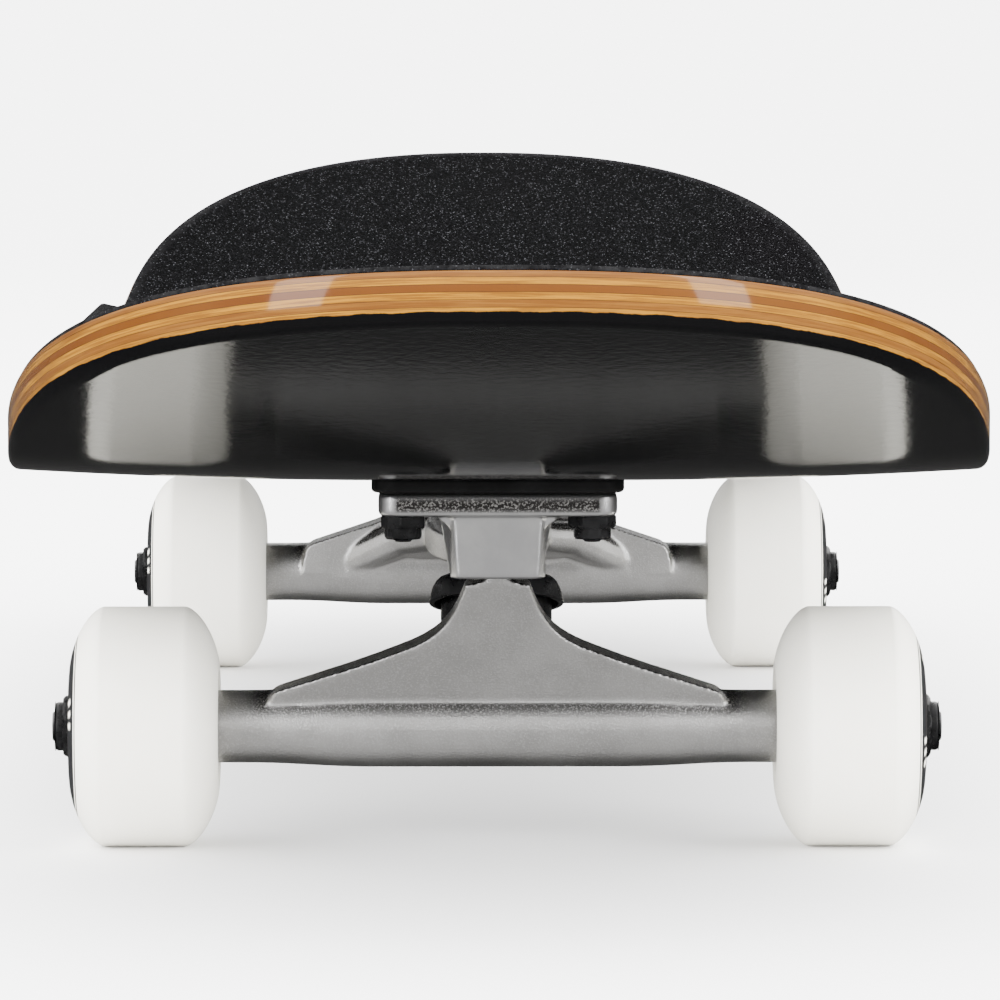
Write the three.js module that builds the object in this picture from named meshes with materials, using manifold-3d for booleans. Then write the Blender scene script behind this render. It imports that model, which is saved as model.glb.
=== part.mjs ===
// A street skateboard: seven-ply kicked deck with griptape, two sprung cast trucks and four urethane wheels.
// Frame: millimetres, +X to the board's right, +Y towards the nose, +Z up, the floor under the wheels at z = 0.
import * as THREE from "three";
import { mergeVertices } from "three/addons/utils/BufferGeometryUtils.js";
import Module from "manifold-3d";

const wasm = await Module();
wasm.setup();

// ---- driving dimensions ----

const GAP = 0.3; // left between faces that touch inside a tilted group
const FACE_GAP = 0.1; // left between flat faces that touch on the level

const DECK_LENGTH = 813;
const DECK_HALF_WIDTH = 104.75;
const DECK_THICKNESS = 10;
const GRIP_THICKNESS = 1;
const EDGE_ROUND = 2.2; // along the deck's lower edge
const TOP_ROUND = 1.2;
const GRIP_INSET = 0.8;
const TAIL_OVERHANG = 186; // tail tip beyond the tail axle
const WHEELBASE = 432; // axle to axle
const FLAT_HALF_WIDTH = DECK_HALF_WIDTH / 5; // level strip along the middle of the deck
const CONCAVE_RISE = 10.5; // rail above the middle, halfway along the board
const AXLE_RISE = 2.5; // rail above the middle, at the kicks

// Each kick bends up on an arc and runs on straight to its tip; its outline is a superellipse.
const TAIL = { roundLength: 149, power: 2.5, bendStart: 34, bendRadius: 150, angle: 17.6 };
const NOSE = { roundLength: 165, power: 2.35, bendStart: 34, bendRadius: 140, angle: 17.6 };

const WHEEL_RADIUS = 26.5;
const WHEEL_HALF_WIDTH = 16.5;
const WHEEL_CENTRE_X = 77.9;
const TREAD_HALF_WIDTH = 8.9;
const BEARING_RADIUS = 11;
const BEARING_WIDTH = 7;
const BEARING_RECESS = 3.8; // bearing face inside the wheel's side

const TRUCK_HEIGHT = 53.6; // axle centre to the top of the baseplate
const RISER_THICKNESS = 3.5;
const PLATE_THICKNESS = 5;
const PLATE_WIDTH = 52;
const PLATE_LENGTH = 77;
const BOLT_ROW_OUTER = -19; // outer bolt row, along the truck from its axle
const BOLT_SPACING_Y = 53.98;
const BOLT_HALF_SPACING_X = 20.65;
const BOLT_RADIUS = 2.4;

const AXLE_RADIUS = 4;
const AXLE_HALF_LENGTH = 98.3;
const HANGER_HALF_WIDTH = 64.2;
const TUBE_RADIUS = 9;
const TUBE_END_RADIUS = 8.05;

const RING = { y: 22, z: 12, radius: 17, halfThickness: 4, holeRadius: 8 }; // centre from the axle
const PIVOT_TIP = { y: -22, z: 42 };
const PIN_RADIUS = 6.2;
const KINGPIN_TILT = 15; // degrees: the nut end leans out towards the board's tip
const KINGPIN_RADIUS = 4.75;
const KINGPIN_BOTTOM = -22.4; // along the kingpin from the ring's centre
const KINGPIN_TOP = 41;

// ---- places worked out from them ----

const AXLE_Z = WHEEL_RADIUS;
const DECK_BOTTOM = AXLE_Z + TRUCK_HEIGHT + RISER_THICKNESS;
const TAIL_TIP_Y = -DECK_LENGTH / 2;
const NOSE_TIP_Y = DECK_LENGTH / 2;
const TAIL_AXLE_Y = TAIL_TIP_Y + TAIL_OVERHANG;
const NOSE_AXLE_Y = TAIL_AXLE_Y + WHEELBASE;
const MIDDLE_Y = (TAIL_AXLE_Y + NOSE_AXLE_Y) / 2;
const PIVOT_DROP = Math.atan2(PIVOT_TIP.z - RING.z, RING.y - PIVOT_TIP.y);
const BOLT_ROWS = [BOLT_ROW_OUTER, BOLT_ROW_OUTER + BOLT_SPACING_Y];
const PLATE_CENTRE = BOLT_ROW_OUTER + BOLT_SPACING_Y / 2;
const PLATE_BOTTOM = TRUCK_HEIGHT - PLATE_THICKNESS;
const GRIP_TOP = DECK_BOTTOM + DECK_THICKNESS + GRIP_THICKNESS;

// ---- materials ----

const finish = (color, roughness, metalness) => new THREE.MeshStandardMaterial({ color, roughness, metalness });
const maple = finish(0xc58a4c, 0.4, 0);
const grit = finish(0x17171a, 0.95, 0);
const blackPlastic = finish(0x151517, 0.6, 0);
const castAluminium = finish(0xb9bbbe, 0.42, 1);
const blackSteel = finish(0x1c1c1f, 0.4, 1);
const darkSteel = finish(0x55565a, 0.3, 1);
const blackUrethane = finish(0x202023, 0.5, 0);
const creamUrethane = finish(0xe9e3d0, 0.45, 0);

// ---- solids and meshes ----

function solid(geometry, matrix = new THREE.Matrix4()) {
  const bare = geometry.clone().applyMatrix4(matrix);
  bare.deleteAttribute("normal");
  bare.deleteAttribute("uv");
  const merged = mergeVertices(bare, 1e-4);
  const vertProperties = new Float32Array(merged.attributes.position.array);
  const triVerts = new Uint32Array(merged.index.array);
  return new wasm.Manifold(new wasm.Mesh({ numProp: 3, vertProperties, triVerts }));
}

function geometryOf(manifold) {
  const { numProp, vertProperties, triVerts } = manifold.getMesh();
  const buffer = new THREE.InterleavedBuffer(vertProperties, numProp);
  const geometry = new THREE.BufferGeometry();
  geometry.setAttribute("position", new THREE.InterleavedBufferAttribute(buffer, 3, 0));
  geometry.setIndex(new THREE.BufferAttribute(triVerts, 1));
  const flat = geometry.toNonIndexed();
  flat.computeVertexNormals();
  return flat;
}

function addMesh(parent, name, geometry, material) {
  const mesh = new THREE.Mesh(geometry, material);
  mesh.name = name;
  parent.add(mesh);
  return mesh;
}

// A solid of revolution about +Z from [radius, height] points, run from the bottom to the top on the outside.
function turned(points, segments) {
  const profile = points.map(([r, z]) => new THREE.Vector2(r, z));
  return new THREE.LatheGeometry(profile, segments).rotateX(Math.PI / 2);
}

// A ring of revolution about +Z whose section is closed on itself.
function turnedRing(points, segments) {
  return turned([...points, points[0]], segments);
}

// A polygon of [y, z] points made solid between x = -halfWidth and x = halfWidth.
function sideProfile(points, halfWidth) {
  const shape = new THREE.Shape(points.map(([y, z]) => new THREE.Vector2(y, z)));
  const depth = 2 * halfWidth;
  const geometry = new THREE.ExtrudeGeometry(shape, { depth, bevelEnabled: false });
  geometry.translate(0, 0, -halfWidth);
  return geometry.rotateY(Math.PI / 2).rotateX(Math.PI / 2);
}

// A polygon of [x, z] points made solid from y = from to y = to.
function frontProfile(points, from, to) {
  const shape = new THREE.Shape(points.map(([x, z]) => new THREE.Vector2(x, z)));
  const geometry = new THREE.ExtrudeGeometry(shape, { depth: to - from, bevelEnabled: false });
  return geometry.rotateX(Math.PI / 2).translate(0, to, 0);
}

const mirrored = (points) => [...points, ...points.map(([x, z]) => [-x, z]).reverse()];

function roundedPlate(width, length, radius, thickness) {
  const x = width / 2;
  const y = length / 2;
  const shape = new THREE.Shape();
  shape.moveTo(x - radius, -y);
  shape.absarc(x - radius, radius - y, radius, -Math.PI / 2, 0);
  shape.absarc(x - radius, y - radius, radius, 0, Math.PI / 2);
  shape.absarc(radius - x, y - radius, radius, Math.PI / 2, Math.PI);
  shape.absarc(radius - x, radius - y, radius, Math.PI, 1.5 * Math.PI);
  return new THREE.ExtrudeGeometry(shape, { depth: thickness, bevelEnabled: false, curveSegments: 3 });
}

const KINGPIN_FRAME = new THREE.Matrix4()
  .makeTranslation(0, RING.y, RING.z)
  .multiply(new THREE.Matrix4().makeRotationX(THREE.MathUtils.degToRad(-KINGPIN_TILT)));

// +Z runs up along the pivot pin, from the ring's centre to the pin's tip.
const PIVOT_FRAME = new THREE.Matrix4()
  .makeTranslation(0, PIVOT_TIP.y, PIVOT_TIP.z)
  .multiply(new THREE.Matrix4().makeRotationX(Math.PI / 2 - PIVOT_DROP));

// ---- deck and griptape: one grid bent to the kicks and the concave ----

const GRID_X = 10;
const END_STEPS = 10;
const MIDDLE_STEPS = 6;
const GRID_Y = 2 * END_STEPS + MIDDLE_STEPS;

function kickHeight(end, beyondAxle) {
  const angle = THREE.MathUtils.degToRad(end.angle);
  const along = beyondAxle - end.bendStart;
  const arcLength = end.bendRadius * Math.sin(angle);
  if (along <= 0) return 0;
  if (along < arcLength) return end.bendRadius - Math.sqrt(end.bendRadius ** 2 - along ** 2);
  return end.bendRadius * (1 - Math.cos(angle)) + (along - arcLength) * Math.tan(angle);
}

function middleHeight(y) {
  if (y < TAIL_AXLE_Y) return kickHeight(TAIL, TAIL_AXLE_Y - y);
  return kickHeight(NOSE, y - NOSE_AXLE_Y);
}

function boardHeight(x, y) {
  const fromMiddle = Math.abs(y - MIDDLE_Y);
  const fade = THREE.MathUtils.smoothstep(fromMiddle, 0.3 * WHEELBASE, 0.6 * WHEELBASE);
  const rise = THREE.MathUtils.lerp(CONCAVE_RISE, AXLE_RISE, fade);
  const out = Math.max(0, (Math.abs(x) - FLAT_HALF_WIDTH) / (DECK_HALF_WIDTH - FLAT_HALF_WIDTH));
  return middleHeight(y) + rise * out ** 2;
}

// Vertical thickness grows where the board slopes, so that it is even at right angles to the ply.
function slopeStretch(y) {
  const slope = middleHeight(y + 1) - middleHeight(y - 1);
  return Math.hypot(1, slope / 2);
}

// Maps a point of the square grid (column and row from -1 to 1) to the outline, inset from the edge.
function outlinePoint(column, row, inset) {
  const step = ((row + 1) / 2) * GRID_Y;
  const halfWidth = DECK_HALF_WIDTH - inset;
  const tailStart = TAIL_TIP_Y + TAIL.roundLength;
  const noseStart = NOSE_TIP_Y - NOSE.roundLength;
  const middle = (step - END_STEPS) / MIDDLE_STEPS;
  if (middle >= 0 && middle <= 1) return [column * halfWidth, THREE.MathUtils.lerp(tailStart, noseStart, middle)];
  const end = middle < 0 ? TAIL : NOSE;
  const outward = middle < 0 ? -1 : 1;
  const along = middle < 0 ? (END_STEPS - step) / END_STEPS : (step - END_STEPS - MIDDLE_STEPS) / END_STEPS;
  const across = Math.abs(column);
  const reach = Math.max(across, along);
  const spread = (across ** end.power + along ** end.power) ** (1 / end.power);
  const start = middle < 0 ? tailStart : noseStart;
  const scale = reach / spread;
  return [column * scale * halfWidth, start + outward * along * scale * (end.roundLength - inset)];
}

// A layered slab on the grid: each layer is [height above the deck's underside, inset from the outline].
function boardGeometry(layers) {
  const geometry = new THREE.BoxGeometry(2, 2, 2, GRID_X, GRID_Y, layers.length - 1);
  const position = geometry.attributes.position;
  for (let i = 0; i < position.count; i++) {
    const layer = Math.round(((position.getZ(i) + 1) / 2) * (layers.length - 1));
    const [height, inset] = layers[layer];
    const [x, y] = outlinePoint(position.getX(i), position.getY(i), inset);
    position.setXYZ(i, x, y, DECK_BOTTOM + boardHeight(x, y) + height * slopeStretch(y));
  }
  return geometry;
}

function boltPlaces() {
  const places = [];
  for (const [end, axleY, inward] of [["tail", TAIL_AXLE_Y, 1], ["nose", NOSE_AXLE_Y, -1]]) {
    for (const [row, along] of [["outer", BOLT_ROWS[0]], ["inner", BOLT_ROWS[1]]]) {
      for (const [side, across] of [["left", -1], ["right", 1]]) {
        places.push({ name: `${end}_${row}_${side}`, x: across * BOLT_HALF_SPACING_X, y: axleY + inward * along });
      }
    }
  }
  return places;
}

const BOLT_END = AXLE_Z + PLATE_BOTTOM - 6.2;
const BOLT_HEAD_RADIUS = 4.7;
const BOLT_HEAD_HEIGHT = 2.6;
const BOLT_SEGMENTS = 10;

// A flat-headed bolt's outline, grown by a clearance when it is used to cut its own hole.
function boltProfile(clearance, top) {
  const shank = BOLT_RADIUS + clearance;
  const head = BOLT_HEAD_RADIUS + clearance;
  const headBase = GRIP_TOP - BOLT_HEAD_HEIGHT - clearance;
  return [[0, BOLT_END - clearance], [shank, BOLT_END - clearance], [shank, headBase],
    [head, GRIP_TOP - 0.3 - clearance], [head, top], [0, top]];
}

function drillBoard(board) {
  const cutter = turned(boltProfile(GAP, GRIP_TOP + 2), BOLT_SEGMENTS);
  let drilled = board;
  for (const { x, y } of boltPlaces()) {
    drilled = drilled.subtract(solid(cutter, new THREE.Matrix4().makeTranslation(x, y, 0)));
  }
  return geometryOf(drilled);
}

const skateboard = new THREE.Group();

const deckLayers = [[0, EDGE_ROUND], [EDGE_ROUND, 0], [DECK_THICKNESS - TOP_ROUND, 0], [DECK_THICKNESS, GRIP_INSET]];
addMesh(skateboard, "deck", drillBoard(solid(boardGeometry(deckLayers))), maple);

// The griptape starts inside the deck and is cut back to its top, so that both have the same facets.
const gripSlab = boardGeometry([[DECK_THICKNESS / 2, GRIP_INSET], [DECK_THICKNESS + GRIP_THICKNESS, GRIP_INSET]]);
const gripCutter = boardGeometry([[0, -GRIP_INSET], [DECK_THICKNESS + GAP, -GRIP_INSET]]);
addMesh(skateboard, "griptape", drillBoard(solid(gripSlab).subtract(solid(gripCutter))), grit);

// ---- mounting bolts and their lock nuts ----

const LOCK_NUT_RADIUS = 9.5 / Math.sqrt(3);
const LOCK_NUT_HEX_HEIGHT = 3.1;
const LOCK_NUT_HEIGHT = 5.5;
const LOCK_NUT_COLLAR_RADIUS = 4.1;

function lockNutGeometry(hexRadius, hexHeight, collarRadius, height, holeRadius) {
  const hex = solid(new THREE.CylinderGeometry(hexRadius, hexRadius, hexHeight, 6).rotateX(Math.PI / 2));
  const collar = solid(turned([[0, -height + hexHeight / 2], [collarRadius - 0.8, -height + hexHeight / 2],
    [collarRadius, -height + hexHeight / 2 + 0.8], [collarRadius, 0], [0, 0]], 12));
  const hole = solid(turned([[0, -2 * height], [holeRadius, -2 * height], [holeRadius, height], [0, height]], 12));
  return geometryOf(hex.add(collar).subtract(hole));
}

for (const { name, x, y } of boltPlaces()) {
  const bolt = addMesh(skateboard, `${name}_bolt`, turned(boltProfile(0, GRIP_TOP - 0.1), BOLT_SEGMENTS), blackSteel);
  bolt.position.set(x, y, 0);
  const nutShape = lockNutGeometry(LOCK_NUT_RADIUS, LOCK_NUT_HEX_HEIGHT, LOCK_NUT_COLLAR_RADIUS,
    LOCK_NUT_HEIGHT, BOLT_RADIUS + GAP);
  const nut = addMesh(skateboard, `${name}_lock_nut`, nutShape, blackSteel);
  nut.position.set(x, y, AXLE_Z + PLATE_BOTTOM - FACE_GAP - LOCK_NUT_HEX_HEIGHT / 2);
}

// ---- truck pieces, in the truck's frame: origin at the axle's centre, +Y towards the board's middle ----

const RISER_MARGIN = 3;

function drillPlate(plate) {
  let drilled = plate;
  for (const along of BOLT_ROWS) {
    for (const across of [-BOLT_HALF_SPACING_X, BOLT_HALF_SPACING_X]) {
      const bore = turned([[0, 0], [BOLT_RADIUS + GAP, 0], [BOLT_RADIUS + GAP, 80], [0, 80]], BOLT_SEGMENTS);
      drilled = drilled.subtract(solid(bore, new THREE.Matrix4().makeTranslation(across, along, 0)));
    }
  }
  return drilled;
}

function riserGeometry() {
  const pad = roundedPlate(PLATE_WIDTH + RISER_MARGIN, PLATE_LENGTH + RISER_MARGIN, 6, RISER_THICKNESS - 2 * FACE_GAP);
  pad.translate(0, PLATE_CENTRE, TRUCK_HEIGHT + FACE_GAP);
  return geometryOf(drillPlate(solid(pad)));
}

const HOUSING_HALF_WIDTH = 9.8;
const CUP_OUTER_RADIUS = 7.6;
const CUP_INNER_RADIUS = 6.6;
const PIN_DOME = 6.05; // pin tip's dome centre, back along the pin from the pivot tip
const HOUSING_BOTTOM = 34.8;
const DOME_STEPS = 4;

// A blind round shape about the pivot pin: a dome at its tip, then a cylinder down to the given end.
function pivotPlug(radius, end) {
  const dome = [];
  for (let step = 0; step <= DOME_STEPS; step++) {
    const angle = (step / DOME_STEPS) * (Math.PI / 2);
    dome.push([step === DOME_STEPS ? 0 : radius * Math.cos(angle), -PIN_DOME + radius * Math.sin(angle)]);
  }
  return turned([[0, end], [radius, end], ...dome], 20);
}

function baseplateGeometry() {
  const plate = roundedPlate(PLATE_WIDTH, PLATE_LENGTH, 5, PLATE_THICKNESS);
  plate.translate(0, PLATE_CENTRE, PLATE_BOTTOM);
  const housing = sideProfile([[-28, PLATE_BOTTOM + 1], [-28, HOUSING_BOTTOM + 1.2], [-26.8, HOUSING_BOTTOM],
    [-19, HOUSING_BOTTOM], [-8.5, 44], [-3, PLATE_BOTTOM + 1]], HOUSING_HALF_WIDTH);
  const boss = turned([[0, 20.3], [10.5, 20.3], [13.5, 39], [0, 39]], 20);
  const rib = sideProfile([[-12, PLATE_BOTTOM + 1], [-6, 45.5], [20, 45.5], [30, 38], [30, PLATE_BOTTOM + 1]], 3);
  const kingpinBore = turned([[0, 10], [KINGPIN_RADIUS + GAP, 10], [KINGPIN_RADIUS + GAP, 60], [0, 60]], 16);
  const body = solid(plate).add(solid(housing)).add(solid(boss, KINGPIN_FRAME)).add(solid(rib));
  const levelTop = new THREE.BoxGeometry(200, 200, 50).translate(0, 0, TRUCK_HEIGHT + 25);
  const bored = body
    .subtract(solid(levelTop))
    .subtract(solid(pivotPlug(CUP_OUTER_RADIUS + GAP, -40), PIVOT_FRAME))
    .subtract(solid(kingpinBore, KINGPIN_FRAME));
  return geometryOf(drillPlate(bored));
}

function pivotCupGeometry() {
  const cup = solid(pivotPlug(CUP_OUTER_RADIUS, -8), PIVOT_FRAME)
    .subtract(solid(pivotPlug(CUP_INNER_RADIUS, -20), PIVOT_FRAME));
  const below = new THREE.BoxGeometry(60, 60, 20).translate(0, -20, HOUSING_BOTTOM - 10.1);
  return geometryOf(cup.subtract(solid(below)));
}

// The cast hanger: a tapered tube over the axle, a peaked web up to the pivot pin, and a ring for the bushings.
function hangerGeometry() {
  const tube = turned([[0, -HANGER_HALF_WIDTH], [TUBE_END_RADIUS, -HANGER_HALF_WIDTH], [TUBE_END_RADIUS, -50],
    [TUBE_RADIUS, -34], [TUBE_RADIUS, 34], [TUBE_END_RADIUS, 50],
    [TUBE_END_RADIUS, HANGER_HALF_WIDTH], [0, HANGER_HALF_WIDTH]], 24).rotateY(Math.PI / 2);
  const peak = frontProfile(mirrored([[49, 0], [47.5, 9], [36, 13], [27.8, 16], [21.3, 18.3], [16.7, 20.3],
    [12.5, 23.3], [9.5, 26.8], [7.4, 30.5], [6, 33.4]]), -30, 14);
  const webSide = sideProfile([[-4.3, 2], [-21.7, 33.4], [-9, 33.4], [-3, 27], [5, 21], [12, 17], [12, 2]], 60);
  const arms = frontProfile(mirrored([[44, -3], [31, 8.5], [21, 12], [14, 16]]), 0, RING.y);
  const armSide = sideProfile([[0, -6], [8, -4], [24, 6.5], [22, 17], [6, 19.8], [0, 9]], 60);
  const pin = pivotPlug(PIN_RADIUS, -24);
  const ring = turned([[0, -RING.halfThickness], [RING.radius, -RING.halfThickness],
    [RING.radius, RING.halfThickness], [0, RING.halfThickness]], 28);
  const body = solid(tube)
    .add(solid(peak).intersect(solid(webSide)))
    .add(solid(arms).intersect(solid(armSide)))
    .add(solid(pin, PIVOT_FRAME))
    .add(solid(ring, KINGPIN_FRAME));
  const ringHole = turned([[0, -9], [RING.holeRadius, -9], [RING.holeRadius, 9], [0, 9]], 20);
  const above = turned([[0, 4], [13.6, 4], [14.6, 11], [17, 12], [17, 40], [0, 40]], 24);
  const below = turned([[0, -40], [12.6, -40], [12.6, -14], [13.2, -4], [0, -4]], 24);
  const axleBore = turned([[0, -90], [AXLE_RADIUS + GAP, -90], [AXLE_RADIUS + GAP, 90], [0, 90]], 16).rotateY(Math.PI / 2);
  return geometryOf(body
    .subtract(solid(ringHole, KINGPIN_FRAME))
    .subtract(solid(above, KINGPIN_FRAME))
    .subtract(solid(below, KINGPIN_FRAME))
    .subtract(solid(axleBore)));
}

const AXLE_NUT_RADIUS = 12.7 / Math.sqrt(3);
const AXLE_NUT_INNER = 91.8;
const AXLE_NUT_HEIGHT = 5.9;

function axleGeometry() {
  const end = AXLE_HALF_LENGTH;
  const shoulder = AXLE_RADIUS - 0.6;
  const profile = [[0, -end], [shoulder, -end], [AXLE_RADIUS, -end + 0.6], [AXLE_RADIUS, end - 0.6],
    [shoulder, end], [0, end]];
  return turned(profile, 16).rotateY(Math.PI / 2);
}

const bushingBore = KINGPIN_RADIUS + GAP;

// Everything threaded on the kingpin, from [radius, height along the kingpin] sections.
const KINGPIN_STACK = [
  ["kingpin", blackSteel, turned([[0, KINGPIN_BOTTOM], [KINGPIN_RADIUS - 0.6, KINGPIN_BOTTOM],
    [KINGPIN_RADIUS, KINGPIN_BOTTOM + 0.6], [KINGPIN_RADIUS, KINGPIN_TOP], [0, KINGPIN_TOP]], 16)],
  ["cup_washer", blackSteel, turnedRing([[bushingBore, 18.7], [11.6, 18.6], [13.1, 17], [14, 13.4], [15.2, 13.4],
    [14.4, 17.6], [12.6, 19.4], [9, 20], [bushingBore, 20]], 24)],
  ["boardside_bushing", blackUrethane, turnedRing([[bushingBore, 4.2], [11.8, 4.2], [12.5, 4.9], [12.5, 16.4],
    [11.1, 18.3], [bushingBore, 18.3]], 24)],
  ["roadside_bushing", blackUrethane, turnedRing([[bushingBore, -12.2], [9.6, -12.2], [10.2, -11.6], [12, -4.8],
    [11.4, -4.2], [bushingBore, -4.2]], 24)],
  ["flat_washer", blackSteel, turnedRing([[bushingBore, -13.7], [9.2, -13.7], [9.2, -12.4], [bushingBore, -12.4]], 20)],
];

const KINGPIN_NUT_HEX_HEIGHT = 5.6;

function buildTruck(end, axleY, facing) {
  const truck = new THREE.Group();
  truck.position.set(0, axleY, AXLE_Z);
  truck.rotation.z = facing;
  addMesh(truck, `${end}_riser_pad`, riserGeometry(), blackPlastic);
  addMesh(truck, `${end}_baseplate`, baseplateGeometry(), castAluminium);
  addMesh(truck, `${end}_pivot_cup`, pivotCupGeometry(), blackPlastic);
  addMesh(truck, `${end}_hanger`, hangerGeometry(), castAluminium);
  addMesh(truck, `${end}_axle`, axleGeometry(), darkSteel);
  const kingpinGroup = new THREE.Group();
  kingpinGroup.applyMatrix4(KINGPIN_FRAME);
  for (const [name, material, geometry] of KINGPIN_STACK) {
    addMesh(kingpinGroup, `${end}_${name}`, geometry, material);
  }
  const nutShape = lockNutGeometry(14.3 / Math.sqrt(3), KINGPIN_NUT_HEX_HEIGHT, 6.4, 8.2, KINGPIN_RADIUS + GAP);
  const nut = addMesh(kingpinGroup, `${end}_kingpin_nut`, nutShape, blackSteel);
  nut.position.z = -13.9 - KINGPIN_NUT_HEX_HEIGHT / 2;
  nut.rotation.z = Math.PI / 6;
  truck.add(kingpinGroup);
  skateboard.add(truck);
}

// ---- wheels, bearings, speed washers and axle nuts ----

// A wheel's section is the same on both sides; heights run along the axle from the wheel's middle.
function wheelGeometry() {
  const seat = BEARING_RADIUS + FACE_GAP;
  const bearingOuter = WHEEL_HALF_WIDTH - BEARING_RECESS + FACE_GAP;
  const bearingInner = bearingOuter - BEARING_WIDTH - 2 * FACE_GAP;
  const half = [[9, bearingInner], [seat, bearingInner], [seat, bearingOuter], [12, WHEEL_HALF_WIDTH - 0.3],
    [13.2, WHEEL_HALF_WIDTH], [17.4, 15.5], [21.9, 13.8], [WHEEL_RADIUS, TREAD_HALF_WIDTH]];
  const other = half.map(([r, z]) => [r, -z]);
  return turnedRing([...other, ...half.reverse()], 32).rotateY(Math.PI / 2);
}

const WASHER_THICKNESS = 0.9;

// Roller bearing, axle nut and washer are turned about X; each is placed by the middle of its length.
function ringAboutX(inner, outer, width, segments) {
  const section = [[inner, -width / 2], [outer, -width / 2], [outer, width / 2], [inner, width / 2]];
  return turnedRing(section, segments).rotateY(Math.PI / 2);
}

function buildWheel(end, axleY, side, outward) {
  const corner = new THREE.Group();
  corner.position.set(0, axleY, AXLE_Z);
  const prefix = `${end}_${side}`;
  const wheel = addMesh(corner, `${prefix}_wheel`, wheelGeometry(), creamUrethane);
  wheel.position.x = outward * WHEEL_CENTRE_X;
  const bearingOffset = WHEEL_HALF_WIDTH - BEARING_RECESS - BEARING_WIDTH / 2;
  for (const [place, sign] of [["inner", -1], ["outer", 1]]) {
    const shape = ringAboutX(AXLE_RADIUS + 0.15, BEARING_RADIUS, BEARING_WIDTH, 16);
    const bearing = addMesh(corner, `${prefix}_${place}_bearing`, shape, darkSteel);
    bearing.position.x = outward * (WHEEL_CENTRE_X + sign * bearingOffset);
  }
  const washerShape = ringAboutX(AXLE_RADIUS + 0.15, 6.4, WASHER_THICKNESS, 12);
  const washer = addMesh(corner, `${prefix}_speed_washer`, washerShape, darkSteel);
  washer.position.x = outward * (AXLE_NUT_INNER - FACE_GAP - WASHER_THICKNESS / 2);
  const hex = new THREE.CylinderGeometry(AXLE_NUT_RADIUS, AXLE_NUT_RADIUS, AXLE_NUT_HEIGHT, 6).rotateZ(Math.PI / 2);
  const bore = new THREE.CylinderGeometry(AXLE_RADIUS + GAP, AXLE_RADIUS + GAP, 20, 12).rotateZ(Math.PI / 2);
  const nut = addMesh(corner, `${prefix}_axle_nut`, geometryOf(solid(hex).subtract(solid(bore))), blackSteel);
  nut.position.x = outward * (AXLE_NUT_INNER + AXLE_NUT_HEIGHT / 2);
  skateboard.add(corner);
}

for (const [end, axleY, facing] of [["tail", TAIL_AXLE_Y, 0], ["nose", NOSE_AXLE_Y, Math.PI]]) {
  buildTruck(end, axleY, facing);
  buildWheel(end, axleY, "left", -1);
  buildWheel(end, axleY, "right", 1);
}

export default skateboard;
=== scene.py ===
import math

import bmesh
import bpy
from mathutils import Matrix, Vector


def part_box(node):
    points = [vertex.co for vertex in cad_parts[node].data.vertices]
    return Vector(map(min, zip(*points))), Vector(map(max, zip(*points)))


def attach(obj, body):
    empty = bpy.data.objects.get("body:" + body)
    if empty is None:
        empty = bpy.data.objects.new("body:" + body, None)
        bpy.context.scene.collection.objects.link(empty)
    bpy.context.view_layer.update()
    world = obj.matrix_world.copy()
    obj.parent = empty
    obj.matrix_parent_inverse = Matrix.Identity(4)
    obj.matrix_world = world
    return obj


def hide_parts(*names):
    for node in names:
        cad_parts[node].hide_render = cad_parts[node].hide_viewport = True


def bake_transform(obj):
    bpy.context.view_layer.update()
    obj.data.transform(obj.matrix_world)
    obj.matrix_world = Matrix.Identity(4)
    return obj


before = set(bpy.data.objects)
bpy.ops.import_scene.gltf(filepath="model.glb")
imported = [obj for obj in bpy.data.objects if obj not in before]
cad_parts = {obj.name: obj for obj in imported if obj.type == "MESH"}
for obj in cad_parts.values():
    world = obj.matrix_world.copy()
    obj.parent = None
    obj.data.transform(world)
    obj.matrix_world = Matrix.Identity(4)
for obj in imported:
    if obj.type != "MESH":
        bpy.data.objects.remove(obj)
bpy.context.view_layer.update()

# ---- studio ----
# A pale floor that runs to the horizon under a white sky, a broad soft box overhead,
# two tall ones in front and one behind. Shapes are drawn in millimetres and scaled by MM.
MM = 0.001
FLOOR_HALF = 80
SKY_STRENGTH = 7.0


def link_node(tree, kind, inputs=None, **settings):
    """A node with its settings, and each named input set to a value or linked to a socket."""
    node = tree.nodes.new(kind)
    for key, value in settings.items():
        setattr(node, key, value)
    for key, value in (inputs or {}).items():
        if isinstance(value, bpy.types.NodeSocket):
            tree.links.new(value, node.inputs[key])
        else:
            node.inputs[key].default_value = value
    return node


def new_finish(name, **shader_inputs):
    """A material and its node tree, with the Principled shader's own sockets set."""
    finish = bpy.data.materials.new(name)
    finish.use_nodes = True
    shader = finish.node_tree.nodes["Principled BSDF"]
    for key, value in shader_inputs.items():
        shader.inputs[key.replace("_", " ")].default_value = value
    return finish, finish.node_tree, shader


def object_place(tree):
    return link_node(tree, "ShaderNodeTexCoord").outputs["Object"]


floor_grid = bmesh.new()
bmesh.ops.create_grid(floor_grid, x_segments=4, y_segments=4, size=FLOOR_HALF)
floor_mesh = bpy.data.meshes.new("floor")
floor_grid.to_mesh(floor_mesh)
floor = bpy.data.objects.new("floor", floor_mesh)
bpy.context.scene.collection.objects.link(floor)
floor_paint, _, _ = new_finish("floor_paint", Base_Color=(0.93, 0.93, 0.93, 1), Roughness=0.9)
floor_mesh.materials.append(floor_paint)
floor.visible_glossy = False

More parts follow.
